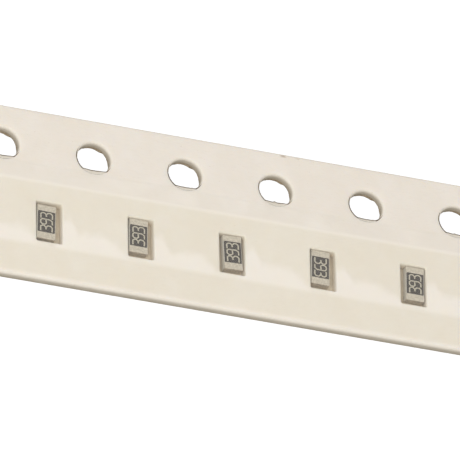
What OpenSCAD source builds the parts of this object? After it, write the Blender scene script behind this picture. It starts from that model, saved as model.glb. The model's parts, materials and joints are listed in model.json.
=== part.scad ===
// Cut strip of 8 mm punched paper carrier tape, loaded with 0603 chip resistors.
//
// X runs along the strip and Y across it, towards the row of sprocket holes.
// The origin is under the strip's centre, on the surface that the strip lies on.

/* [Strip] */
// Number of pockets along the strip, each holding one chip
pocket_count = 7; // [1:1:10]
// Width of the carrier tape
tape_width = 8.00; // [7.80:0.05:8.30]
// Thickness of the punched paper
paper_thickness = 0.42; // [0.40:0.01:0.80]
// Rounding that the slitting knife leaves on the upper long edges
slit_round = 0.14; // [0.02:0.01:0.20]

/* [Sprocket holes] */
// Distance between neighbouring sprocket holes
sprocket_pitch = 4.00; // [3.90:0.01:4.10]
// Diameter of a sprocket hole
sprocket_diameter = 1.50; // [1.40:0.01:1.60]
// Distance from the tape's edge to the line of sprocket holes
sprocket_edge_distance = 1.80; // [1.65:0.01:1.85]
// Rounding that the punch leaves on the upper rim of a sprocket hole
sprocket_rim_round = 0.08; // [0.02:0.01:0.12]

/* [Pockets] */
// Distance between the centres of neighbouring pockets
pocket_pitch = 4.00; // [2.00:0.05:4.10]
// Distance from the line of sprocket holes to the line of pockets
pocket_line_distance = 3.45; // [3.40:0.01:3.55]
// Opening of a pocket along the strip
pocket_length = 1.10; // [1.00:0.01:1.25]
// Opening of a pocket across the strip
pocket_width = 1.86; // [1.80:0.01:2.05]
// Radius of a pocket's corners
pocket_corner_radius = 0.06; // [0.02:0.01:0.15]

/* [Cover tapes] */
// Width of the top and of the bottom cover tape
cover_width = 5.30; // [4.90:0.05:5.50]
// Thickness of the clear top cover tape
top_cover_thickness = 0.05; // [0.03:0.01:0.08]
// Thickness of the bottom cover tape, which is the floor of the pockets
bottom_cover_thickness = 0.05; // [0.03:0.01:0.08]
// Width of the sealed strip of the top cover tape beside the sprocket holes
inner_seal_width = 0.85; // [0.30:0.05:1.00]
// Width of the sealed strip of the top cover tape at the far edge
outer_seal_width = 0.35; // [0.20:0.05:1.00]
// How far the top cover tape bulges up between its two sealed strips
cover_bulge = 0.04; // [0.02:0.01:0.10]

/* [Chip resistor] */
// Length of the chip over its two terminals
chip_length = 1.60; // [1.50:0.01:1.70]
// Width of the chip
chip_width = 0.80; // [0.72:0.01:0.88]
// Height of the chip over its two terminals
chip_height = 0.36; // [0.30:0.01:0.40]
// Thickness of the metal that wraps each end
terminal_thickness = 0.03; // [0.02:0.005:0.05]
// Length of a terminal on the top and the underside of the chip
terminal_length = 0.30; // [0.15:0.01:0.40]
// Rounding of a terminal's outer corners
terminal_round = 0.05; // [0.03:0.01:0.08]
// Thickness of the dark coat over the resistive film
overcoat_thickness = 0.025; // [0.01:0.005:0.03]
// Strip of bare ceramic left along each long side of the coat
overcoat_margin = 0.03; // [0.01:0.01:0.08]
// Corner radius of the coat
overcoat_corner_radius = 0.05; // [0.02:0.01:0.10]

/* [Hidden] */
// How each chip came to rest: share of its play along the strip, share of its play
// across the strip, turn in degrees, and 1 where the chip lies end for end.
CHIP_REST = [
    [ 0.60, -0.30,  0.9, 0],
    [-0.95,  0.15, -1.7, 0],
    [-0.75,  0.95, -1.1, 0],
    [ 0.33,  1.00,  2.2, 0],
    [-0.80,  0.95, -1.2, 1],
    [ 0.70,  0.90, -0.7, 0],
    [-0.40,  0.70, -0.5, 0],
];
// Least room left between a chip and the wall that it lies nearest to
SEAT_CLEARANCE = 0.01;
// How far a cutting shape runs past the face that it cuts
CUT = 0.1;

strip_length = pocket_count * pocket_pitch;
sprocket_edge_y = tape_width / 2;
sprocket_line_y = sprocket_edge_y - sprocket_edge_distance;
pocket_line_y = sprocket_line_y - pocket_line_distance;
paper_top_z = bottom_cover_thickness + paper_thickness;

CHIP_PIECES = ["substrate", "overcoat", "left_terminal", "right_terminal"];
function chip_node(i, piece) = str("chip_", i, "_", piece);

// Along the strip, the first sprocket hole lies on the cut end.
sprocket_hole_count = floor(strip_length / sprocket_pitch + 0.001) + 1;
function sprocket_x(k) = k * sprocket_pitch - strip_length / 2;
function pocket_x(i) = (i - 0.5) * pocket_pitch - strip_length / 2;

// A section drawn with Y to the right and Z up, swept along the whole strip.
module sweep_along_strip() {
    rotate([90, 0, 90])
        linear_extrude(height = strip_length, center = true)
            children();
}

// A rectangle centred on the origin, with true arcs at its corners.
module rounded_rectangle(size, radius) {
    square([size.x - 2 * radius, size.y], center = true);
    square([size.x, size.y - 2 * radius], center = true);
    for (x = [-1, 1], y = [-1, 1])
        translate([x * (size.x / 2 - radius), y * (size.y / 2 - radius)])
            circle(r = radius, $fn = 32);
}

// Section of the paper: square below, rounded along both upper edges.
module paper_section() {
    translate([-tape_width / 2, 0])
        square([tape_width, paper_thickness - slit_round]);
    translate([-tape_width / 2 + slit_round, 0])
        square([tape_width - 2 * slit_round, paper_thickness]);
    for (side = [-1, 1])
        translate([side * (tape_width / 2 - slit_round), paper_thickness - slit_round])
            circle(r = slit_round, $fn = 48);
}

// The punch's path: a straight bore with a flare that rounds the upper rim.
module sprocket_punch() {
    bore_r = sprocket_diameter / 2;
    translate([0, 0, -CUT])
        cylinder(r = bore_r, h = paper_thickness + 2 * CUT, $fn = 96);
    rotate_extrude($fn = 96)
        difference() {
            translate([bore_r - CUT, paper_thickness - sprocket_rim_round])
                square([CUT + sprocket_rim_round, sprocket_rim_round + CUT]);
            translate([bore_r + sprocket_rim_round, paper_thickness - sprocket_rim_round])
                circle(r = sprocket_rim_round, $fn = 48);
        }
}

module pocket_punch() {
    translate([0, 0, -CUT])
        linear_extrude(height = paper_thickness + 2 * CUT)
            rounded_rectangle([pocket_length, pocket_width], pocket_corner_radius);
}

// Paper strip with its row of sprocket holes and its row of pockets, cut across
// two sprocket holes.
module carrier_tape() {
    color([0.92, 0.88, 0.83])
        translate([0, 0, bottom_cover_thickness])
            difference() {
                sweep_along_strip() paper_section();
                for (k = [0:sprocket_hole_count - 1])
                    translate([sprocket_x(k), sprocket_line_y, 0]) sprocket_punch();
                for (i = [1:pocket_count])
                    translate([pocket_x(i), pocket_line_y, 0]) pocket_punch();
            }
}

// Film sealed to the underside, clear of the sprocket holes: the pockets' floor.
module bottom_cover_tape() {
    color([0.86, 0.82, 0.75])
        translate([0, pocket_line_y, bottom_cover_thickness / 2])
            cube([strip_length, cover_width, bottom_cover_thickness], center = true);
}

// Section of the top cover tape, centred on the line of pockets. It lies flat
// where it is sealed, and stands off the paper in a shallow arc between.
module top_cover_section() {
    free_start = -cover_width / 2 + outer_seal_width;
    free_end = cover_width / 2 - inner_seal_width;
    half_chord = (free_end - free_start) / 2;
    arc_r = (pow(half_chord, 2) + pow(cover_bulge, 2)) / (2 * cover_bulge);
    arc_y = (free_start + free_end) / 2;
    difference() {
        union() {
            translate([-cover_width / 2, 0])
                square([cover_width, top_cover_thickness]);
            intersection() {
                translate([arc_y, top_cover_thickness + cover_bulge - arc_r])
                    circle(r = arc_r, $fn = 2400);
                translate([-cover_width / 2, 0])
                    square([cover_width, top_cover_thickness + cover_bulge]);
            }
        }
        translate([arc_y, cover_bulge - arc_r])
            circle(r = arc_r, $fn = 2400);
    }
}

module top_cover_tape() {
    color([0.93, 0.92, 0.86, 0.35])
        translate([0, pocket_line_y, paper_top_z])
            sweep_along_strip() top_cover_section();
}

// A chip stands on Z = 0 with its length along Y, and its marking reads towards +Y.
// Ceramic body between the wraps of metal.
module chip_substrate() {
    color([0.88, 0.86, 0.82])
        translate([0, 0, chip_height / 2])
            cube([chip_width, chip_length - 2 * terminal_thickness,
                  chip_height - 2 * terminal_thickness], center = true);
}

// Coat between the two terminals, on top of the body.
module chip_overcoat() {
    color([0.24, 0.22, 0.20])
        translate([0, 0, chip_height - terminal_thickness])
            linear_extrude(height = overcoat_thickness)
                rounded_rectangle([chip_width - 2 * overcoat_margin,
                                   chip_length - 2 * terminal_length],
                                  overcoat_corner_radius);
}

// Metal wrapped round one end of the body: over the top, the end and the underside.
// end is -1 for the left and 1 for the right, as the marking is read.
module chip_terminal(end) {
    color([0.80, 0.79, 0.76])
        intersection() {
            rotate([90, 0, 90])
                linear_extrude(height = chip_width, center = true)
                    difference() {
                        translate([0, chip_height / 2])
                            rounded_rectangle([chip_length, chip_height], terminal_round);
                        translate([0, chip_height / 2])
                            square([chip_length - 2 * terminal_thickness,
                                    chip_height - 2 * terminal_thickness], center = true);
                    }
            translate([0, end * (chip_length - terminal_length) / 2, chip_height / 2])
                cube([chip_width + CUT, terminal_length, chip_height + CUT], center = true);
        }
}

// Carries a chip to where it lies on the floor of pocket i.
module in_pocket(i) {
    rest = CHIP_REST[(i - 1) % len(CHIP_REST)];
    turn = rest[2];
    // A turned chip reaches further to each side, which leaves it less play.
    reach_x = (chip_width * cos(turn) + chip_length * abs(sin(turn))) / 2;
    reach_y = (chip_length * cos(turn) + chip_width * abs(sin(turn))) / 2;
    play_x = max(pocket_length / 2 - reach_x - SEAT_CLEARANCE, 0);
    play_y = max(pocket_width / 2 - reach_y - SEAT_CLEARANCE, 0);
    translate([pocket_x(i) + rest[0] * play_x,
               pocket_line_y + rest[1] * play_y,
               bottom_cover_thickness])
        rotate([0, 0, turn + 180 * rest[3]])
            children();
}

carrier_tape();
bottom_cover_tape();
top_cover_tape();
for (i = [1:pocket_count]) {
    in_pocket(i) chip_substrate();
    in_pocket(i) chip_overcoat();
    in_pocket(i) chip_terminal(-1);
    in_pocket(i) chip_terminal(1);
}
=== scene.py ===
"""Looks of a cut strip of punched paper carrier tape with chip resistors.

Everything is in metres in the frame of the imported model: X along the strip, Y across it
towards the sprocket holes, Z up. Lengths are written in millimetres, as a number times MM.
"""
import json
import math

import bpy
from mathutils import Matrix, Vector, noise


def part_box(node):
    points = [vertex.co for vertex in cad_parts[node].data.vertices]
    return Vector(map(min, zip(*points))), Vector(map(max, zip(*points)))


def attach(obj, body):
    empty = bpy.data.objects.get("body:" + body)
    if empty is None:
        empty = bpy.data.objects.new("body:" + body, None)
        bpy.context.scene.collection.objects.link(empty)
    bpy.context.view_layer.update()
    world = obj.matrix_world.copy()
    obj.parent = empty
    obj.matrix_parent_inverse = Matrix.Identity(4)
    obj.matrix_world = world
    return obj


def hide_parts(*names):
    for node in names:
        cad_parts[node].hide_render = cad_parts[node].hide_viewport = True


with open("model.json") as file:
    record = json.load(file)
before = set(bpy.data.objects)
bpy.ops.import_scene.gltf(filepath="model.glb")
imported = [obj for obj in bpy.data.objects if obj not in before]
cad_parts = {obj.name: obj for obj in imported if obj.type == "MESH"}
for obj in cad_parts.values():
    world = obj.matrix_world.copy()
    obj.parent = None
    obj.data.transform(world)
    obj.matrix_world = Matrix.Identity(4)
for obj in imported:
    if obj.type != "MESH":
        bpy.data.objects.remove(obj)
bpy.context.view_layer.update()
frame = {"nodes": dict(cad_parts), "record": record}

MM = 0.001
NODES = frame["nodes"]

# ---------------------------------------------------------------- sizes from the frame

paper_lo, paper_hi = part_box("carrier_tape")
film_lo, film_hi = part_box("top_cover_tape")
END_X = paper_hi.x
EDGE_Y = paper_hi.y
PAPER_TOP, PAPER_BOTTOM = paper_hi.z, paper_lo.z

bores = [m for m in frame["record"]["mounts"] if m["kind"] == "bore"]
hole_mounts = sorted(bores, key=lambda m: m["name"])
HOLE_R = hole_mounts[0]["dims"]["r_mm"] * MM
HOLE_Y = hole_mounts[0]["pos_m"][1]
PITCH = hole_mounts[1]["pos_m"][0] - hole_mounts[0]["pos_m"][0]
HOLE_XS = [m["pos_m"][0] for m in hole_mounts]      # the whole holes
ALL_HOLE_XS = [HOLE_XS[0] - PITCH] + HOLE_XS + [HOLE_XS[-1] + PITCH]    # with the two cut in half
POCKET_Y = (film_lo.y + film_hi.y) / 2
POCKET_XS = [x - PITCH / 2 for x in HOLE_XS] + [HOLE_XS[-1] + PITCH / 2]
CHIP_COUNT = len(POCKET_XS)

# Sizes that the frame has no name for, as in part.scad.
POCKET_HALF = Vector((1.10 * MM / 2, 1.86 * MM / 2))
POCKET_CORNER = 0.06 * MM
INNER_SEAL = 0.85 * MM
OUTER_SEAL = 0.35 * MM
FILM_THICKNESS = 0.05 * MM
RIM_ROUND = 0.08 * MM       # the punch drags the paper's face down round a sprocket hole
SLIT_ROUND = 0.14 * MM      # and the knife does along the two long edges


# ---------------------------------------------------------------- small helpers

SMOOTH_ANGLE = math.radians(35)     # edges that turn more than this stay sharp


def new_object(name, mesh):
    """Links a mesh as a piece of the object that rides on its one body."""
    mesh.polygons.foreach_set("use_smooth", [True] * len(mesh.polygons))
    mesh.set_sharp_from_angle(angle=SMOOTH_ANGLE)
    piece = bpy.data.objects.new(name, mesh)
    bpy.context.scene.collection.objects.link(piece)
    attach(piece, "root")
    return piece


def mesh_of(name, points, faces, face_materials=None, materials=()):
    mesh = bpy.data.meshes.new(name)
    mesh.from_pydata([tuple(p) for p in points], [], faces)
    for material in materials:
        mesh.materials.append(material)
    if face_materials is not None:
        mesh.polygons.foreach_set("material_index", face_materials)
    mesh.validate()
    mesh.update()
    return mesh


def fractal(x, y, z, scale, octaves=3):
    """Smooth noise of about -1 to 1, with features of the size scale."""
    return noise.fractal(Vector((x, y, z)) / scale, 1.0, 2.0, octaves)


class Nodes:
    """Short names for building a node tree."""

    def __init__(self, tree):
        self.tree = tree
        tree.nodes.clear()

    def fill(self, socket, value):
        """Links a socket to another one, or sets it to a plain value."""
        if isinstance(value, bpy.types.NodeSocket):
            self.tree.links.new(value, socket)
        else:
            socket.default_value = value

    def add(self, kind, inputs=None, **settings):
        node = self.tree.nodes.new(kind)
        for key, value in settings.items():
            setattr(node, key, value)
        for key, value in (inputs or {}).items():
            self.fill(node.inputs[key], value)
        return node

    def place(self):
        """Where on the object a point lies, in metres."""
        return self.add("ShaderNodeTexCoord").outputs["Object"]

    def math(self, operation, *values, clamp=False):
        node = self.add("ShaderNodeMath", operation=operation, use_clamp=clamp)
        for i, value in enumerate(values):
            self.fill(node.inputs[i], value)
        return node.outputs[0]

    def inverse(self, value):
        """1 where value is 0, and 0 where it is 1."""
        return self.math("SUBTRACT", 1.0, value)

    def mix(self, share, a, b):
        """The colour a with a share of the colour b."""
        node = self.add("ShaderNodeMix", data_type="RGBA")
        for socket, value in zip((node.inputs[0], node.inputs[6], node.inputs[7]), (share, a, b)):
            self.fill(socket, value)
        return node.outputs[2]

    def blend(self, colour, mask, share, other):
        """The colour with up to a share of another one, where the mask is 1."""
        return self.mix(self.math("MULTIPLY", mask, share), colour, other)

    def noise(self, vector, scale, detail=3.0, roughness=0.55):
        return self.add("ShaderNodeTexNoise", {"Vector": vector, "Scale": scale, "Detail": detail,
                                               "Roughness": roughness}).outputs[0]

    def stretch(self, vector, x, y, z):
        return self.add("ShaderNodeMapping", {"Vector": vector, "Scale": (x, y, z)}).outputs[0]

    def ramp(self, value, *stops):
        """Each stop is (position, colour)."""
        node = self.add("ShaderNodeValToRGB", {"Fac": value})
        elements = node.color_ramp.elements
        while len(elements) < len(stops):
            elements.new(0.5)
        for element, (position, colour) in zip(elements, stops):
            element.position, element.color = position, colour
        return node.outputs[0]

    def between(self, value, low, high):
        """Spreads a value of 0 to 1 over low to high."""
        return self.add("ShaderNodeMapRange", {"Value": value, "To Min": low, "To Max": high}).outputs[0]

    def step(self, value, low, high):
        """0 below low, 1 above high, and smooth between."""
        return self.add("ShaderNodeMapRange", {"Value": value, "From Min": low, "From Max": high},
                        interpolation_type="SMOOTHSTEP").outputs[0]

    def band(self, value, middle, flat, end):
        """1 as far as flat from the middle, and 0 from end on."""
        away = self.math("ABSOLUTE", self.math("SUBTRACT", value, middle))
        return self.inverse(self.step(away, flat, end))


def srgb(r, g, b):
    """A colour given as it shows on a screen, 0 to 255, as the linear one that shaders take."""
    def one(value):
        value /= 255
        return value / 12.92 if value <= 0.04045 else ((value + 0.055) / 1.055) ** 2.4
    return (one(r), one(g), one(b), 1.0)


def material(name):
    made = bpy.data.materials.new(name)
    made.use_nodes = True
    return made, Nodes(made.node_tree)


def finish_material(n, shader):
    n.add("ShaderNodeOutputMaterial", {"Surface": shader.outputs[0]})


def finish_solid(n, colour, roughness, relief=None, strength=0.0, depth=0.0, **more):
    """Ends a material as a solid surface, with a relief of a depth where one is given."""
    inputs = {"Base Color": colour, "Roughness": roughness}
    inputs.update({key.replace("_", " "): value for key, value in more.items()})
    if relief is not None:
        bump = n.add("ShaderNodeBump", {"Strength": strength, "Distance": depth, "Height": relief})
        inputs["Normal"] = bump.outputs[0]
    finish_material(n, n.add("ShaderNodeBsdfPrincipled", inputs))


# ---------------------------------------------------------------- materials

# Painted highlight: the top cover tape's sheen is painted in as paler paper and a clearer film:
# over a straight line, in an arch between each two pockets that has a shoulder on one side, and
# elsewhere along the film.
FILM_HIGHLIGHT_Y = POCKET_Y - 1.20 * MM
FILM_HIGHLIGHT_SHARE = 0.48
ARCH_RISE = 0.75 * MM
ARCH_MIDDLE, ARCH_HALF, ARCH_POWER = -0.15, 1.6, 2.2    # in mm from the nearest hole, along the strip
SHOULDER_RISE = 0.80 * MM
SHOULDER_MIDDLE, SHOULDER_FLAT, SHOULDER_END = -1.25, 0.1, 0.6     # likewise
ARCH_WANDER = 0.9 * MM
FOLD_Y = film_hi.y - INNER_SEAL         # where the film rises from its wide seal
RIDGE_Y = FOLD_Y + 0.04 * MM
RIDGE_HALF = 0.16 * MM

# Brown flecks in the paper at the edge by the sprocket holes: where, how large, how dark.
FLECKS = [(2.33 * MM, 0.09 * MM, 0.5), (2.95 * MM, 0.07 * MM, 0.15)]
FLECK_Y = EDGE_Y - 0.14 * MM


def painted_film_highlight(n, place):
    """Where the top cover tape's sheen is painted in as a highlight, 0 to 1."""
    split = n.add("ShaderNodeSeparateXYZ", {"Vector": place})
    x, y = split.outputs["X"], split.outputs["Y"]

    pitches = n.math("DIVIDE", n.math("SUBTRACT", x, HOLE_XS[0]), PITCH)
    share = n.math("SUBTRACT", n.math("FRACT", n.math("ADD", pitches, 0.5)), 0.5)
    off = n.math("MULTIPLY", share, PITCH / MM)
    off_arch = n.math("DIVIDE", n.math("SUBTRACT", off, ARCH_MIDDLE), ARCH_HALF)
    bow = n.math("POWER", n.math("ABSOLUTE", off_arch), ARCH_POWER)
    arch = n.math("MULTIPLY", n.math("SUBTRACT", 1.0, bow, clamp=True), ARCH_RISE)
    shoulder = n.band(off, SHOULDER_MIDDLE, SHOULDER_FLAT, SHOULDER_END)
    rise = n.math("ADD", arch, n.math("MULTIPLY", shoulder, SHOULDER_RISE))
    wander = n.math("MULTIPLY", n.math("SUBTRACT", n.noise(place, 1100.0), 0.5), ARCH_WANDER)
    arch_y = n.math("ADD", n.math("ADD", rise, wander), FILM_HIGHLIGHT_Y + 0.22 * MM)
    under = n.step(n.math("SUBTRACT", arch_y, y), -0.22 * MM, 0.30 * MM)
    above = n.step(y, FILM_HIGHLIGHT_Y - 0.12 * MM, FILM_HIGHLIGHT_Y + 0.16 * MM)
    arches = n.math("MULTIPLY", under, above)

    ridge = n.math("MULTIPLY", n.band(y, RIDGE_Y, 0.0, RIDGE_HALF), 0.75)
    in_seal = n.math("MULTIPLY", n.step(y, RIDGE_Y, RIDGE_Y + 0.15 * MM),
                     n.inverse(n.step(y, film_hi.y - 0.12 * MM, film_hi.y)))
    patchy = n.step(n.noise(place, 420.0, 2.0), 0.45, 0.68)
    patches = n.math("MULTIPLY", n.math("MULTIPLY", patchy, in_seal), 0.5)
    rim = n.math("MULTIPLY", n.band(y, film_lo.y + 0.05 * MM, 0.0, 0.12 * MM), 0.5)
    return n.math("MAXIMUM", n.math("MAXIMUM", ridge, arches), n.math("MAXIMUM", patches, rim))


def with_fleck(n, colour, place, fibres, x, size, strength):
    """The colour with one brown fleck, long along the strip and ragged with the fibres."""
    away = n.add("ShaderNodeVectorMath", {0: place, 1: (x, FLECK_Y, PAPER_TOP)},
                 operation="SUBTRACT").outputs[0]
    length = n.add("ShaderNodeVectorMath", {0: n.stretch(away, 0.45, 1, 0)},
                   operation="LENGTH").outputs["Value"]
    ragged = n.math("ADD", length, n.math("MULTIPLY", n.math("SUBTRACT", fibres, 0.5), 0.10 * MM))
    return n.blend(colour, n.inverse(n.step(ragged, size * 0.3, size)), strength, srgb(158, 126, 92))


def paper_material():
    """Bleached kraft paper: matte, warm white, with cloudy formation and fine fibres, and a painted
    highlight where the cover film shines.
    """
    made, n = material("carrier_paper")
    place = n.place()
    clouds = n.noise(place, 900.0, 4.0)
    fibres = n.noise(n.stretch(place, 4000, 18000, 18000), 1.0, 3.0, 0.6)
    specks = n.noise(place, 14000.0, 1.0)
    colour = n.ramp(clouds, (0.30, srgb(235, 226, 213)), (0.70, srgb(238, 230, 219)))
    colour = n.blend(colour, n.step(fibres, 0.45, 0.8), 0.25, srgb(226, 216, 200))
    colour = n.blend(colour, n.step(specks, 0.74, 0.80), 0.35, srgb(196, 178, 150))
    # Painted highlight: the cover film's sheen, as paler paper.
    colour = n.blend(colour, painted_film_highlight(n, place), FILM_HIGHLIGHT_SHARE, srgb(252, 245, 234))
    for fleck in FLECKS:
        colour = with_fleck(n, colour, place, fibres, *fleck)
    relief = n.math("ADD", n.math("MULTIPLY", fibres, 0.6), n.math("MULTIPLY", clouds, 0.8))
    finish_solid(n, colour, 0.82, relief, 0.35, 0.006 * MM, Specular_IOR_Level=0.25,
                 Subsurface_Weight=0.25, Subsurface_Scale=1.0,
                 Subsurface_Radius=(0.22 * MM, 0.18 * MM, 0.12 * MM))
    return made


def cut_paper_material(name, middle, low):
    """The paper's cut edge: layers along it, torn fibres, and painted shade that makes it darker and
    browner further down.
    """
    made, n = material(name)
    place = n.place()
    layers = n.noise(n.stretch(place, 1500, 1500, 22000), 1.0, 3.0, 0.6)
    torn = n.noise(place, 16000.0, 4.0, 0.7)
    height = n.add("ShaderNodeSeparateXYZ", {"Vector": place}).outputs["Z"]
    depth = n.add("ShaderNodeMapRange", {"Value": height, "From Min": PAPER_TOP - 0.05 * MM,
                                         "From Max": PAPER_BOTTOM}).outputs[0]
    # Painted shade: the wall darkens from the paper's tone towards the underside.
    colour = n.ramp(depth, (0.0, srgb(236, 228, 214)), (0.35, middle), (1.0, low))
    colour = n.blend(colour, n.step(layers, 0.45, 0.7), 0.35, srgb(232, 224, 208))
    colour = n.blend(colour, n.step(torn, 0.5, 0.75), 0.30, srgb(176, 158, 130))
    finish_solid(n, colour, 0.9, n.math("ADD", layers, torn), 0.6, 0.012 * MM, Specular_IOR_Level=0.2)
    return made


def burr_material(name, dark, pale):
    """Fibres that the punch left: brown and matted."""
    made, n = material(name)
    torn = n.noise(n.place(), 20000.0, 4.0, 0.7)
    colour = n.ramp(torn, (0.35, dark), (0.65, pale))
    finish_solid(n, colour, 0.9, torn, 0.6, 0.01 * MM, Specular_IOR_Level=0.2)
    return made


def bottom_film_material():
    """Thin milky film, a little yellow, with faint lines from its making."""
    made, n = material("bottom_cover_film")
    place = n.place()
    lines = n.noise(n.stretch(place, 300, 9000, 300), 1.0, 2.0)
    haze = n.noise(place, 2500.0)
    colour = n.ramp(haze, (0.35, srgb(212, 197, 172)), (0.65, srgb(224, 211, 188)))
    colour = n.blend(colour, n.step(lines, 0.5, 0.7), 0.3, srgb(204, 188, 162))
    finish_solid(n, colour, n.between(haze, 0.28, 0.45), lines, 0.3, 0.004 * MM)
    return made


def top_film_material():
    """Clear film, with a faint yellow tint where it is neither sealed down nor under its painted
    highlight.
    """
    made, n = material("top_cover_film")
    place = n.place()
    y = n.add("ShaderNodeSeparateXYZ", {"Vector": place}).outputs["Y"]
    sealed = n.math("MAXIMUM", n.step(y, FOLD_Y - 0.10 * MM, FOLD_Y + 0.06 * MM),
                    n.step(y, film_lo.y + 0.12 * MM, film_lo.y))
    # Under the painted highlight the film's tint clears too.
    sealed_or_highlit = n.math("MAXIMUM", sealed, painted_film_highlight(n, place))
    tint = n.mix(sealed_or_highlit, (0.998, 0.998, 0.984, 1), (1, 1, 0.998, 1))
    ripples = n.noise(n.stretch(place, 900, 500, 500), 1.0)
    bump = n.add("ShaderNodeBump", {"Strength": 0.3, "Distance": 0.02 * MM, "Height": ripples}).outputs[0]
    fresnel = n.add("ShaderNodeFresnel", {"IOR": 1.5, "Normal": bump}).outputs[0]
    front = n.inverse(n.add("ShaderNodeNewGeometry").outputs["Backfacing"])
    share = n.math("MULTIPLY", n.math("MULTIPLY", fresnel, 1.6), front, clamp=True)
    clear = n.add("ShaderNodeBsdfTransparent", {"Color": tint}).outputs[0]
    gloss = n.add("ShaderNodeBsdfAnisotropic", {"Color": (1, 1, 1, 1), "Roughness": 0.18,
                                                "Normal": bump}).outputs[0]
    finish_material(n, n.add("ShaderNodeMixShader", {0: share, 1: clear, 2: gloss}))
    return made


def ceramic_material():
    """Alumina with the rough, scored faces of a snapped chip."""
    made, n = material("chip_ceramic")
    grain = n.noise(n.place(), 30000.0)
    colour = n.ramp(grain, (0.35, srgb(196, 190, 180)), (0.65, srgb(222, 218, 208)))
    finish_solid(n, colour, 0.7, grain, 0.5, 0.006 * MM)
    return made


def overcoat_material():
    """Dark printed coat with a slight mottle."""
    made, n = material("chip_overcoat")
    mottle = n.noise(n.place(), 9000.0, 4.0)
    colour = n.ramp(mottle, (0.35, srgb(44, 36, 28)), (0.65, srgb(66, 55, 43)))
    finish_solid(n, colour, n.between(mottle, 0.35, 0.6), mottle, 0.3, 0.004 * MM)
    return made


def tin_material():
    """Matte tin plate: pale metal with a grainy, uneven shine."""
    made, n = material("chip_tin_plating")
    grain = n.noise(n.place(), 12000.0, 4.0)
    colour = n.ramp(grain, (0.35, srgb(186, 176, 160)), (0.65, srgb(212, 202, 186)))
    finish_solid(n, colour, n.between(grain, 0.32, 0.5), grain, 0.5, 0.008 * MM, Metallic=0.55)
    return made


def marking_material():
    """Pale printed ink."""
    made, n = material("chip_marking")
    patchy = n.noise(n.place(), 20000.0)
    colour = n.ramp(patchy, (0.35, srgb(178, 170, 152)), (0.65, srgb(206, 198, 180)))
    finish_solid(n, colour, 0.6)
    return made


PAPER = paper_material()
# Both cut walls carry painted shade that darkens them downwards.
CUT_PAPER = cut_paper_material("carrier_paper_cut", srgb(203, 193, 176), srgb(156, 144, 124))
POCKET_WALL = cut_paper_material("carrier_paper_pocket_wall", srgb(236, 225, 208), srgb(216, 199, 174))
# Punched fibres, dark enough to be painted shade along the holes' rims as well.
DARK_BURR_AND_SHADE = burr_material("carrier_paper_burr_and_shade", srgb(72, 59, 44), srgb(124, 106, 82))
FRINGE = burr_material("carrier_paper_fringe", srgb(114, 98, 76), srgb(178, 162, 138))
BOTTOM_FILM = bottom_film_material()
TOP_FILM = top_film_material()
CERAMIC = ceramic_material()
OVERCOAT = overcoat_material()
TIN = tin_material()
INK = marking_material()


# ---------------------------------------------------------------- paper strip

BORE_FRAY = 0.05 * MM       # how far a hole's torn wall stands in, at most
FRAYED_SIDE = math.radians(100)
FRAY, FRAY_SIZE = 0.007 * MM, 0.09 * MM     # unevenness of every cut wall
POCKET_RIM_ROUND = 0.08 * MM
POCKET_REACH = 1.5 * MM     # nothing but a pocket's own rim lies this near to its middle
BAND_SPLIT_Y = 0.60 * MM    # between the row of holes and the row of pockets
SWELL, SWELL_SIZE = 0.004 * MM, 3 * MM      # unevenness of the paper's face
RIM_ROLL, ROLL_REACH = 0.018 * MM, 0.10 * MM    # how far its face sinks towards a hole

STEP_X = PITCH / 32         # between the points of the paper's mesh along the strip
HOLE_ROWS, POCKET_ROWS = 26, 36     # and how many rows of them lie across each band
RINGS = 12
RING_GRADE = 2.2            # draws the rings of faces together near an opening
ARC_ROWS, WALL_ROWS = 6, 7  # rows of faces down a rounded rim and down the wall under it
WALL_FOOT = 0.03 * MM       # height of a wall's last row over the underside

# The paper's materials, by their place in its mesh.
FACE, CUT, POCKET_CUT = 0, 1, 2


def rectangle_outline(lo, hi, rows):
    """Points round a rectangle, one every STEP_X along X and rows of them along Y."""
    columns = round((hi.x - lo.x) / STEP_X)
    xs = [lo.x + (hi.x - lo.x) * i / columns for i in range(columns + 1)]
    ys = [lo.y + (hi.y - lo.y) * i / rows for i in range(rows + 1)]
    return ([(x, lo.y) for x in xs[:-1]] + [(hi.x, y) for y in ys[:-1]]
            + [(x, hi.y) for x in reversed(xs[1:])] + [(lo.x, y) for y in reversed(ys[1:])])


def on_circle(centre, towards):
    away = Vector(towards) - centre
    return centre + away.normalized() * (HOLE_R + RIM_ROUND)


def on_rounded_rectangle(centre, towards):
    """Where the line from centre meets the pocket's outline, drawn back by its rim's rounding."""
    half = POCKET_HALF + Vector((POCKET_RIM_ROUND, POCKET_RIM_ROUND))
    radius = POCKET_CORNER + POCKET_RIM_ROUND
    away = (Vector(towards) - centre).normalized()
    flat = min(half.x / max(abs(away.x), 1e-9), half.y / max(abs(away.y), 1e-9))
    point = away * flat
    corner = Vector((math.copysign(half.x - radius, point.x), math.copysign(half.y - radius, point.y)))
    if abs(point.x) > abs(corner.x) and abs(point.y) > abs(corner.y):
        along = away.dot(corner)
        point = away * (along + math.sqrt(max(radius ** 2 - (corner.length_squared - along ** 2), 0)))
    return centre + point


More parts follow.
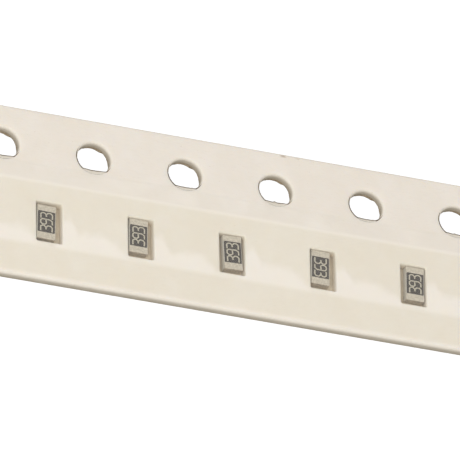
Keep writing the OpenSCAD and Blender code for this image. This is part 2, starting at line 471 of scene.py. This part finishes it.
class Footprint:
    """The strip's outline and openings as one flat mesh of four-sided faces."""

    def __init__(self):
        self.points, self.index, self.faces = [], {}, []

    def point(self, p):
        key = (round(p[0] / MM, 5), round(p[1] / MM, 5))
        if key not in self.index:
            self.index[key] = len(self.points)
            self.points.append(Vector((p[0], p[1])))
        return self.index[key]

    def cell(self, centre, lo, hi, rows, opening):
        """Rings of faces from a rectangular cell's sides to the opening in its middle."""
        outer = rectangle_outline(lo, hi, rows)
        rings = []
        for k in range(RINGS + 1):
            share = (k / RINGS) ** RING_GRADE
            ring = []
            for p in outer:
                inner = opening(centre, p)
                ring.append(inner + (Vector(p) - inner) * share)
            rings.append(ring)
        count = len(outer)
        for near, far in zip(rings, rings[1:]):
            for j in range(count):
                corners = [near[j], far[j], far[(j + 1) % count], near[(j + 1) % count]]
                middle_x = sum(c.x for c in corners) / 4
                if abs(middle_x) < END_X:
                    self.faces.append([self.point(c) for c in corners])


def paper_footprint():
    flat = Footprint()
    top_y = EDGE_Y - SLIT_ROUND
    for x in ALL_HOLE_XS:
        flat.cell(Vector((x, HOLE_Y)), Vector((x - PITCH / 2, BAND_SPLIT_Y)),
                  Vector((x + PITCH / 2, top_y)), HOLE_ROWS, on_circle)
    for x in POCKET_XS:
        flat.cell(Vector((x, POCKET_Y)), Vector((x - PITCH / 2, -top_y)),
                  Vector((x + PITCH / 2, BAND_SPLIT_Y)), POCKET_ROWS, on_rounded_rectangle)
    return flat


def nearest(values, x):
    return min(values, key=lambda v: abs(v - x))


def bore_fray(local):
    """How far a hole's wall stands in: most on the side where the punch tore the fibres."""
    return BORE_FRAY * (0.5 + 0.5 * math.cos(math.atan2(local.y, local.x) - FRAYED_SIDE))


def wall_pull(p):
    """The ways out of the paper at a point of its edge, each with the rounding there."""
    pulls = []
    if abs(abs(p.x) - END_X) < 1e-9:
        pulls.append((Vector((math.copysign(1, p.x), 0)), 0.0))
    if abs(abs(p.y) - (EDGE_Y - SLIT_ROUND)) < 1e-9:
        pulls.append((Vector((0, math.copysign(1, p.y))), SLIT_ROUND))
    hole = Vector((nearest(ALL_HOLE_XS, p.x), HOLE_Y))
    if abs((p - hole).length - HOLE_R - RIM_ROUND) < 1e-8:
        pulls.append(((hole - p).normalized(), RIM_ROUND + bore_fray(p - hole)))
    pocket = Vector((nearest(POCKET_XS, p.x), POCKET_Y))
    if not pulls and (p - pocket).length < POCKET_REACH:
        local = p - pocket
        flat_x, flat_y = POCKET_HALF.x - POCKET_CORNER, POCKET_HALF.y - POCKET_CORNER
        core = Vector((min(max(local.x, -flat_x), flat_x), min(max(local.y, -flat_y), flat_y)))
        pulls.append(((core - local).normalized(), POCKET_RIM_ROUND))
    return pulls


def paper_top_z(p):
    """Height of the paper's face: low swells, pulled down round the punched holes."""
    swell = SWELL * fractal(p.x, p.y, 0.0, SWELL_SIZE)
    hole = Vector((nearest(ALL_HOLE_XS, p.x), HOLE_Y))
    rim = (p - hole).length - HOLE_R - RIM_ROUND
    roll = RIM_ROLL * math.exp(-max(rim, 0) / ROLL_REACH)
    return PAPER_TOP - SWELL + swell - roll


def wall_profile(top, rounding):
    """(how far out, height) of each row of points down an edge, between the two faces."""
    rows = []
    for i in range(1, ARC_ROWS + 1):
        turn = math.pi / 2 * i / ARC_ROWS
        rows.append((rounding * math.sin(turn), top - rounding * (1 - math.cos(turn))))
    low = PAPER_BOTTOM + WALL_FOOT
    start = top - rounding
    for i in range(1, WALL_ROWS + 1):
        rows.append((rounding, start + (low - start) * i / WALL_ROWS))
    return rows


def wall_column(i, p, top_z, points):
    """Adds the points down the wall under point i of the paper's face, and gives their numbers."""
    pulls = wall_pull(p)
    rounding = max(r for _, r in pulls)
    column = [i]
    for out, z in wall_profile(top_z, rounding):
        place = p.copy()
        for way, r in pulls:
            fray = FRAY * fractal(p.x, p.y, z * 0.35, FRAY_SIZE)
            share = out / rounding if rounding else 0.0
            place += way * (r * share - abs(fray) * (1.0 if r else 0.0))
        column.append(len(points))
        points.append((place.x, place.y, z))
    return column


def make_carrier_tape():
    flat = paper_footprint()
    count = len(flat.points)
    points = [(p.x, p.y, paper_top_z(p)) for p in flat.points]
    points += [(p.x, p.y, PAPER_BOTTOM) for p in flat.points]
    faces = [list(f) for f in flat.faces]
    faces += [[i + count for i in reversed(f)] for f in flat.faces]
    face_materials = [FACE] * len(faces)

    # A side that only one face has lies at an edge or an opening, and gets a wall.
    sides = dict.fromkeys((a, b) for f in flat.faces for a, b in zip(f, f[1:] + f[:1]))
    edges = [(a, b) for (a, b) in sides if (b, a) not in sides]
    columns = {}
    for i in sorted({v for e in edges for v in e}):
        columns[i] = wall_column(i, flat.points[i], points[i][2], points) + [i + count]
    for a, b in edges:
        p = flat.points[a]
        in_pocket = abs(p.y - POCKET_Y) < POCKET_HALF.y * 1.2 and abs(p.x) < END_X - 1e-9
        for row in range(len(columns[a]) - 1):
            faces.append([columns[b][row], columns[a][row], columns[a][row + 1], columns[b][row + 1]])
            face_materials.append(FACE if row < 2 else POCKET_CUT if in_pocket else CUT)

    mesh = mesh_of("carrier_tape_paper", points, faces, face_materials, (PAPER, CUT_PAPER, POCKET_WALL))
    piece = new_object("carrier_tape_paper", mesh)
    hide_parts("carrier_tape")


# ---------------------------------------------------------------- top cover tape

FILM_COLUMNS, FILM_ROWS = 420, 84
FILM_RISE = 0.026 * MM      # how far the film stands off the paper, at most


def film_height(x, y):
    """Height of the film's underside over the paper."""
    outer_fold = film_lo.y + OUTER_SEAL
    if not outer_fold < y < FOLD_Y:
        return 0.0
    across = (y - outer_fold) / (FOLD_Y - outer_fold)
    arch = math.sin(math.pi * across) ** 0.6
    along = 0.5 - 0.5 * math.cos(2 * math.pi * (x - POCKET_XS[0]) / PITCH)
    slack = 0.65 + 0.35 * fractal(x, y, 1 * MM, 2.5 * MM)
    return FILM_RISE * arch * slack * (1 - 0.45 * along)


def make_top_cover_tape():
    points, faces = [], []
    for level in (0, 1):
        for r in range(FILM_ROWS + 1):
            y = film_lo.y + (film_hi.y - film_lo.y) * r / FILM_ROWS
            for c in range(FILM_COLUMNS + 1):
                x = -END_X + 2 * END_X * c / FILM_COLUMNS
                points.append((x, y, PAPER_TOP + film_height(x, y) + level * FILM_THICKNESS))
    width = FILM_COLUMNS + 1
    half = (FILM_ROWS + 1) * width
    for r in range(FILM_ROWS):
        for c in range(FILM_COLUMNS):
            a = r * width + c
            faces.append([a, a + width, a + width + 1, a + 1])
            faces.append([half + a, half + a + 1, half + a + width + 1, half + a + width])
    rim = ([(c, 0) for c in range(FILM_COLUMNS)] + [(FILM_COLUMNS, r) for r in range(FILM_ROWS)]
           + [(c, FILM_ROWS) for c in range(FILM_COLUMNS, 0, -1)]
           + [(0, r) for r in range(FILM_ROWS, 0, -1)])
    for (c0, r0), (c1, r1) in zip(rim, rim[1:] + rim[:1]):
        a, b = r0 * width + c0, r1 * width + c1
        faces.append([a, b, half + b, half + a])
    mesh = mesh_of("top_cover_film", points, faces, materials=(TOP_FILM,))
    piece = new_object("top_cover_film", mesh)
    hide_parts("top_cover_tape")


# ---------------------------------------------------------------- fibres left by the punch

# For each hole: how far from its middle the punch cut the near lip off straight, and how far a
# tuft stands out from that cut, in mm.
LIPS = [(0.56, 0.00), (0.53, 0.00), (0.58, 0.01), (0.545, 0.05), (0.60, 0.00), (0.57, 0.03)]
# The lip's dark edge is burr fibres and painted shade.
LIP_EDGE = 0.05 * MM        # width of the dark edge along a lip
LIP_FOOT = 0.012 * MM
LIP_WALL = HOLE_R + 0.03 * MM
LIP_FADE = (152, 336, 35)   # it grows over 35 degrees from these two angles
CUT_MARGIN = 0.03 * MM      # the lip counts as cut off where it stands in further than this
TUFT_AT, TUFT_HALF = 266, 7     # in degrees
FRINGE_WALL = HOLE_R + 0.01 * MM
FRINGE_FADE = (-20, 142, 22)
FRINGE_REACH, FRINGE_TURN = 0.058 * MM, 0.075 * MM      # all along, and more where the wall turns
FLAP_STEP = 1.5             # degrees between the points of both
FLAP_THICKNESS = 0.012 * MM

# The fibres' materials, by their place in their mesh.
BURR_AND_SHADE_BAND, PAPER_BAND, FRINGE_BAND = 0, 1, 2


def add_flap(points, faces, face_materials, x, turns, radii, heights, bands):
    """A thin ring-shaped flap in the hole at x. radii and heights give, for each angle, its
    rows of points from the wall inwards, and bands the material of each row of faces."""
    rows = len(bands(turns[0])) + 1
    base = len(points)
    for level in (0, 1):
        for turn in turns:
            for r, z in zip(radii(turn), heights(turn)):
                points.append((x + r * math.cos(turn), HOLE_Y + r * math.sin(turn),
                               z - level * FLAP_THICKNESS))
    half = len(turns) * rows
    for i in range(len(turns) - 1):
        for j, band in enumerate(bands(turns[i])):
            a = base + i * rows + j
            faces.append([a, a + 1, a + rows + 1, a + rows])
            faces.append([half + a, half + a + rows, half + a + rows + 1, half + a + 1])
            face_materials += [band, band]
    last = len(turns) - 1
    rim = ([(i, 0) for i in range(last)] + [(last, j) for j in range(rows - 1)]
           + [(i, rows - 1) for i in range(last, 0, -1)] + [(0, j) for j in range(rows - 1, 0, -1)])
    for (i0, j0), (i1, j1) in zip(rim, rim[1:] + rim[:1]):
        a, b = base + i0 * rows + j0, base + i1 * rows + j1
        faces.append([a, half + a, half + b, b])
        face_materials.append(BURR_AND_SHADE_BAND)


def fade(turn, start, end, width):
    """1 between two angles in degrees, falling to 0 within width of them."""
    inside = min(math.degrees(turn) - start, end - math.degrees(turn))
    return min(max(inside / width, 0.0), 1.0)


def ragged(x, turn, level, size):
    """Noise along the rim of the hole at x, with its own run at each level."""
    return fractal(x + math.cos(turn) * MM, math.sin(turn) * MM, level * MM, size)


def add_near_lip(points, faces, face_materials, x, chord, tuft):
    """The rim's dark fringe, and the lip that the punch cut off straight. The fringe and the lip's edge
    are dark fibres and painted shade of the rim.
    """
    turns = [math.radians(138 + FLAP_STEP * i) for i in range(134)]

    def chord_radius(turn):
        return chord * MM / max(-math.sin(turn), 0.05)

    def cut_share(turn):
        """1 where the straight lip stands well inside the rim, 0 where there is none."""
        stands_in = HOLE_R - CUT_MARGIN - chord_radius(turn)
        return min(max(stands_in / (0.08 * MM), 0.0), 1.0)

    def inner(turn):
        rough = HOLE_R - 0.035 * MM + 0.030 * MM * math.cos(turn) ** 2
        rough += 0.006 * MM * ragged(x, turn, 0, 0.12 * MM)
        cut = chord_radius(turn)
        cut -= tuft * MM * math.exp(-((math.degrees(turn) - TUFT_AT) / TUFT_HALF) ** 2)
        cut += 0.010 * MM * ragged(x, turn, 1, 0.10 * MM)
        return LIP_WALL - (LIP_WALL - min(rough, cut)) * fade(turn, *LIP_FADE)

    def radii(turn):
        end = inner(turn)
        outer = LIP_WALL + (0.022 * MM - 0.040 * MM * cut_share(turn)) * fade(turn, *LIP_FADE)
        edge = min(end + LIP_EDGE, outer)
        brow = max(outer - 0.028 * MM, edge)
        crest = max(outer - 0.040 * MM, edge)
        foot = max(crest - LIP_FOOT, edge)
        return outer, brow, crest, foot, edge, end

    def height(turn, r):
        rounding = RIM_ROUND + bore_fray(Vector((math.cos(turn), math.sin(turn))))
        inwards = HOLE_R + RIM_ROUND - r
        share = min(inwards / rounding, 0.80)
        drop = rounding * (1 - math.sqrt(1 - share ** 2)) + 0.35 * max(inwards - 0.80 * rounding, 0)
        return PAPER_TOP - 0.017 * MM - drop

    def heights(turn):
        return [height(turn, r) for r in radii(turn)]

    def bands(turn):
        # Dark rows are burr fibres and painted shade of the rim.
        behind = PAPER_BAND if cut_share(turn) > 0.3 else BURR_AND_SHADE_BAND
        return behind, behind, behind, PAPER_BAND, BURR_AND_SHADE_BAND

    add_flap(points, faces, face_materials, x, turns, radii, heights, bands)


def add_far_fringe(points, faces, face_materials, x):
    """Torn fibres round the bottom of the bore, longest where the far wall turns."""
    turns = [math.radians(-20 + FLAP_STEP * i) for i in range(108)]

    def inner(turn):
        degrees = math.degrees(turn)
        rise = min(max((degrees - 42) / 20, 0.0), 1.0)
        fall = min(max((140 - degrees) / 74, 0.0), 1.0)
        reach = FRINGE_REACH + FRINGE_TURN * rise * rise * (3 - 2 * rise) * fall
        reach += 0.008 * MM * ragged(x, turn, 2, 0.09 * MM)
        return FRINGE_WALL - reach * fade(turn, *FRINGE_FADE)

    def radii(turn):
        end = inner(turn)
        return FRINGE_WALL, (FRINGE_WALL + end) / 2, end

    def heights(turn):
        low = PAPER_BOTTOM + 0.035 * MM
        return low + 0.03 * MM, low + 0.012 * MM, low

    def bands(turn):
        return FRINGE_BAND, FRINGE_BAND

    add_flap(points, faces, face_materials, x, turns, radii, heights, bands)


def make_hole_fibres():
    points, faces, face_materials = [], [], []
    for x, (chord, tuft) in zip(HOLE_XS, LIPS):
        add_near_lip(points, faces, face_materials, x, chord, tuft)
        add_far_fringe(points, faces, face_materials, x)
    mesh = mesh_of("sprocket_hole_fibres", points, faces, face_materials, (DARK_BURR_AND_SHADE, CUT_PAPER, FRINGE))
    new_object("sprocket_hole_fibres", mesh)


# ---------------------------------------------------------------- chips

# The strokes of each digit in a box 1 wide and DIGIT_BOX high, as runs of points.
DIGIT_BOX = 1.8
DIGITS = {
    "3": [[(0.04, 1.72), (0.72, 1.74), (0.92, 1.50), (0.90, 1.20), (0.66, 0.98), (0.36, 0.94)],
          [(0.70, 0.90), (0.96, 0.66), (0.94, 0.28), (0.68, 0.05), (0.04, 0.06)]],
    "9": [[(0.92, 0.98), (0.24, 0.92), (0.05, 1.14), (0.06, 1.50), (0.28, 1.74), (0.74, 1.74),
           (0.94, 1.52), (0.94, 0.42), (0.70, 0.08), (0.16, 0.05)]],
}
CODE = "393"
DIGIT_HEIGHT = 0.54 * MM
DIGIT_PITCH = 0.30 * MM
DIGIT_SLIM = 0.92           # narrows the digits against their box
STROKE = 0.058 * MM
INK_THICKNESS = 0.004 * MM


def ribbon(path, width, thickness, place, points, faces):
    """A flat stroke of constant width along a path, with a solid edge. place maps (u, v, w)."""
    rail = []
    for i, p in enumerate(path):
        before, after = path[max(i - 1, 0)], path[min(i + 1, len(path) - 1)]
        way = Vector((after[0] - before[0], after[1] - before[1])).normalized()
        side = Vector((-way.y, way.x)) * width / 2
        outwards = -1 if i == 0 else 1 if i == len(path) - 1 else 0
        middle = Vector(p) + way * outwards * width / 3
        rail.append((middle + side, middle - side))
    base = len(points)
    for left, right in rail:
        for p, w in ((left, 0), (right, 0), (right, thickness), (left, thickness)):
            points.append(place(p.x, p.y, w))
    for i in range(len(rail) - 1):
        a = base + 4 * i
        for j in range(4):
            k = (j + 1) % 4
            faces.append([a + j, a + k, a + 4 + k, a + 4 + j])
    faces.append([base + 3, base + 2, base + 1, base])
    last = base + 4 * (len(rail) - 1)
    faces.append([last, last + 1, last + 2, last + 3])


def chip_frame(i):
    """Centre of a chip's top, and the directions in which its marking reads and stands."""
    def middle(piece):
        lo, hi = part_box(f"chip_{i}_{piece}")
        return (lo + hi) / 2
    reads = (middle("right_terminal") - middle("left_terminal")).normalized()
    up = Vector((-reads.y, reads.x, 0))
    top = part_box(f"chip_{i}_overcoat")[1].z
    centre = middle("overcoat")
    return Vector((centre.x, centre.y, top)), reads, up


def make_marking(i):
    centre, reads, up = chip_frame(i)
    scale = DIGIT_HEIGHT / DIGIT_BOX
    points, faces = [], []
    for k, digit in enumerate(CODE):
        start = (k - len(CODE) / 2 + 0.5) * DIGIT_PITCH - 0.5 * scale * DIGIT_SLIM

        def place(u, v, w):
            return (centre + reads * (start + u * DIGIT_SLIM) + up * (v - DIGIT_HEIGHT / 2)
                    + Vector((0, 0, w)))

        for stroke in DIGITS[digit]:
            path = [(x * scale, y * scale) for x, y in stroke]
            ribbon(path, STROKE, INK_THICKNESS, place, points, faces)
    mesh = mesh_of(f"chip_{i}_marking", points, faces, materials=(INK,))
    new_object(f"chip_{i}_marking", mesh)


def dress(node, finish):
    """Gives a node that stays as it is its material."""
    mesh = NODES[node].data
    mesh.materials.clear()
    mesh.materials.append(finish)


def dress_chip(i):
    dress(f"chip_{i}_substrate", CERAMIC)
    dress(f"chip_{i}_overcoat", OVERCOAT)
    for side in ("left", "right"):
        dress(f"chip_{i}_{side}_terminal", TIN)
    make_marking(i)


# ---------------------------------------------------------------- camera, floor and light

AZIMUTH, ELEVATION, ROLL = -31.42, 53.64, 36.06
LENS = 900.0                # long, as the photo shows hardly any perspective
VIEW_WIDTH = 18.959 * MM    # what the picture's width shows at the point aimed at
AIM = Vector((-0.094 * MM, -0.138 * MM, PAPER_TOP))

WHITE = (1, 1, 1, 1)
DULL_FLOOR = (0.45, 0.45, 0.45, 1)      # what light meets
SHOWN_FLOOR = (0.20, 0.20, 0.20, 1)     # what is seen: this and a glow, so that a soft shadow shows
FLOOR_GLOW = 0.93
FLOOR_HALF = 0.6            # metres
WORLD_LIGHT = 0.67
KEY_WAY, KEY_DISTANCE, KEY_SIZE, KEY_POWER = (-0.55, -0.50, 0.80), 0.30, 0.16, 0.39


def make_camera():
    a, e, roll = math.radians(AZIMUTH), math.radians(ELEVATION), math.radians(ROLL)
    back = Vector((math.sin(a) * math.cos(e), -math.cos(a) * math.cos(e), math.sin(e)))
    level = Vector((math.cos(a), math.sin(a), 0))
    upright = back.cross(level)
    right = level * math.cos(roll) + upright * math.sin(roll)
    up = upright * math.cos(roll) - level * math.sin(roll)
    data = bpy.data.cameras.new("camera")
    data.lens = LENS
    distance = VIEW_WIDTH * LENS / data.sensor_width
    data.clip_start, data.clip_end = distance * 0.01, distance * 20
    camera = bpy.data.objects.new("camera", data)
    bpy.context.scene.collection.objects.link(camera)
    turn = Matrix((right, up, back)).transposed().to_4x4()
    camera.matrix_world = Matrix.Translation(AIM + back * distance) @ turn
    bpy.context.scene.camera = camera


def seen_directly(n):
    """1 for rays that show the surface itself: from the camera, by gloss or through glass."""
    path = n.add("ShaderNodeLightPath").outputs
    return n.math("MAXIMUM", path["Is Camera Ray"],
                  n.math("MAXIMUM", path["Is Glossy Ray"], path["Is Transmission Ray"]))


def make_floor():
    """Pale floor: it shows white but for the soft shadow, and throws little light back."""
    made, n = material("floor")
    dull = n.add("ShaderNodeBsdfDiffuse", {"Color": DULL_FLOOR}).outputs[0]
    shaded = n.add("ShaderNodeBsdfDiffuse", {"Color": SHOWN_FLOOR}).outputs[0]
    glow = n.add("ShaderNodeEmission", {"Color": WHITE, "Strength": FLOOR_GLOW}).outputs[0]
    shown = n.add("ShaderNodeAddShader", {0: shaded, 1: glow}).outputs[0]
    finish_material(n, n.add("ShaderNodeMixShader", {0: seen_directly(n), 1: dull, 2: shown}))
    corners = [(x * FLOOR_HALF, y * FLOOR_HALF, 0) for x, y in ((-1, -1), (1, -1), (1, 1), (-1, 1))]
    floor = bpy.data.objects.new("floor", mesh_of("floor", corners, [[0, 1, 2, 3]], materials=(made,)))
    bpy.context.scene.collection.objects.link(floor)


def make_world():
    world = bpy.data.worlds.new("studio")
    world.use_nodes = True
    n = Nodes(world.node_tree)
    light = n.add("ShaderNodeBackground", {"Color": WHITE, "Strength": WORLD_LIGHT}).outputs[0]
    shown = n.add("ShaderNodeBackground", {"Color": WHITE, "Strength": 1.0}).outputs[0]
    mixed = n.add("ShaderNodeMixShader", {0: seen_directly(n), 1: light, 2: shown}).outputs[0]
    n.add("ShaderNodeOutputWorld", {"Surface": mixed})
    bpy.context.scene.world = world


def make_lamp():
    """One soft lamp, from the photo's lower left."""
    data = bpy.data.lights.new("key", "AREA")
    data.shape, data.size, data.energy = "DISK", KEY_SIZE, KEY_POWER
    lamp = bpy.data.objects.new("key", data)
    bpy.context.scene.collection.objects.link(lamp)
    way = Vector(KEY_WAY).normalized()
    lamp.location = way * KEY_DISTANCE
    lamp.rotation_mode = "QUATERNION"
    lamp.rotation_quaternion = way.to_track_quat("Z", "Y")


make_camera()
make_floor()
make_world()
make_lamp()

make_carrier_tape()
make_top_cover_tape()
make_hole_fibres()
dress("bottom_cover_tape", BOTTOM_FILM)
for number in range(1, CHIP_COUNT + 1):
    dress_chip(number)

bpy.context.scene.view_settings.view_transform = "Standard"
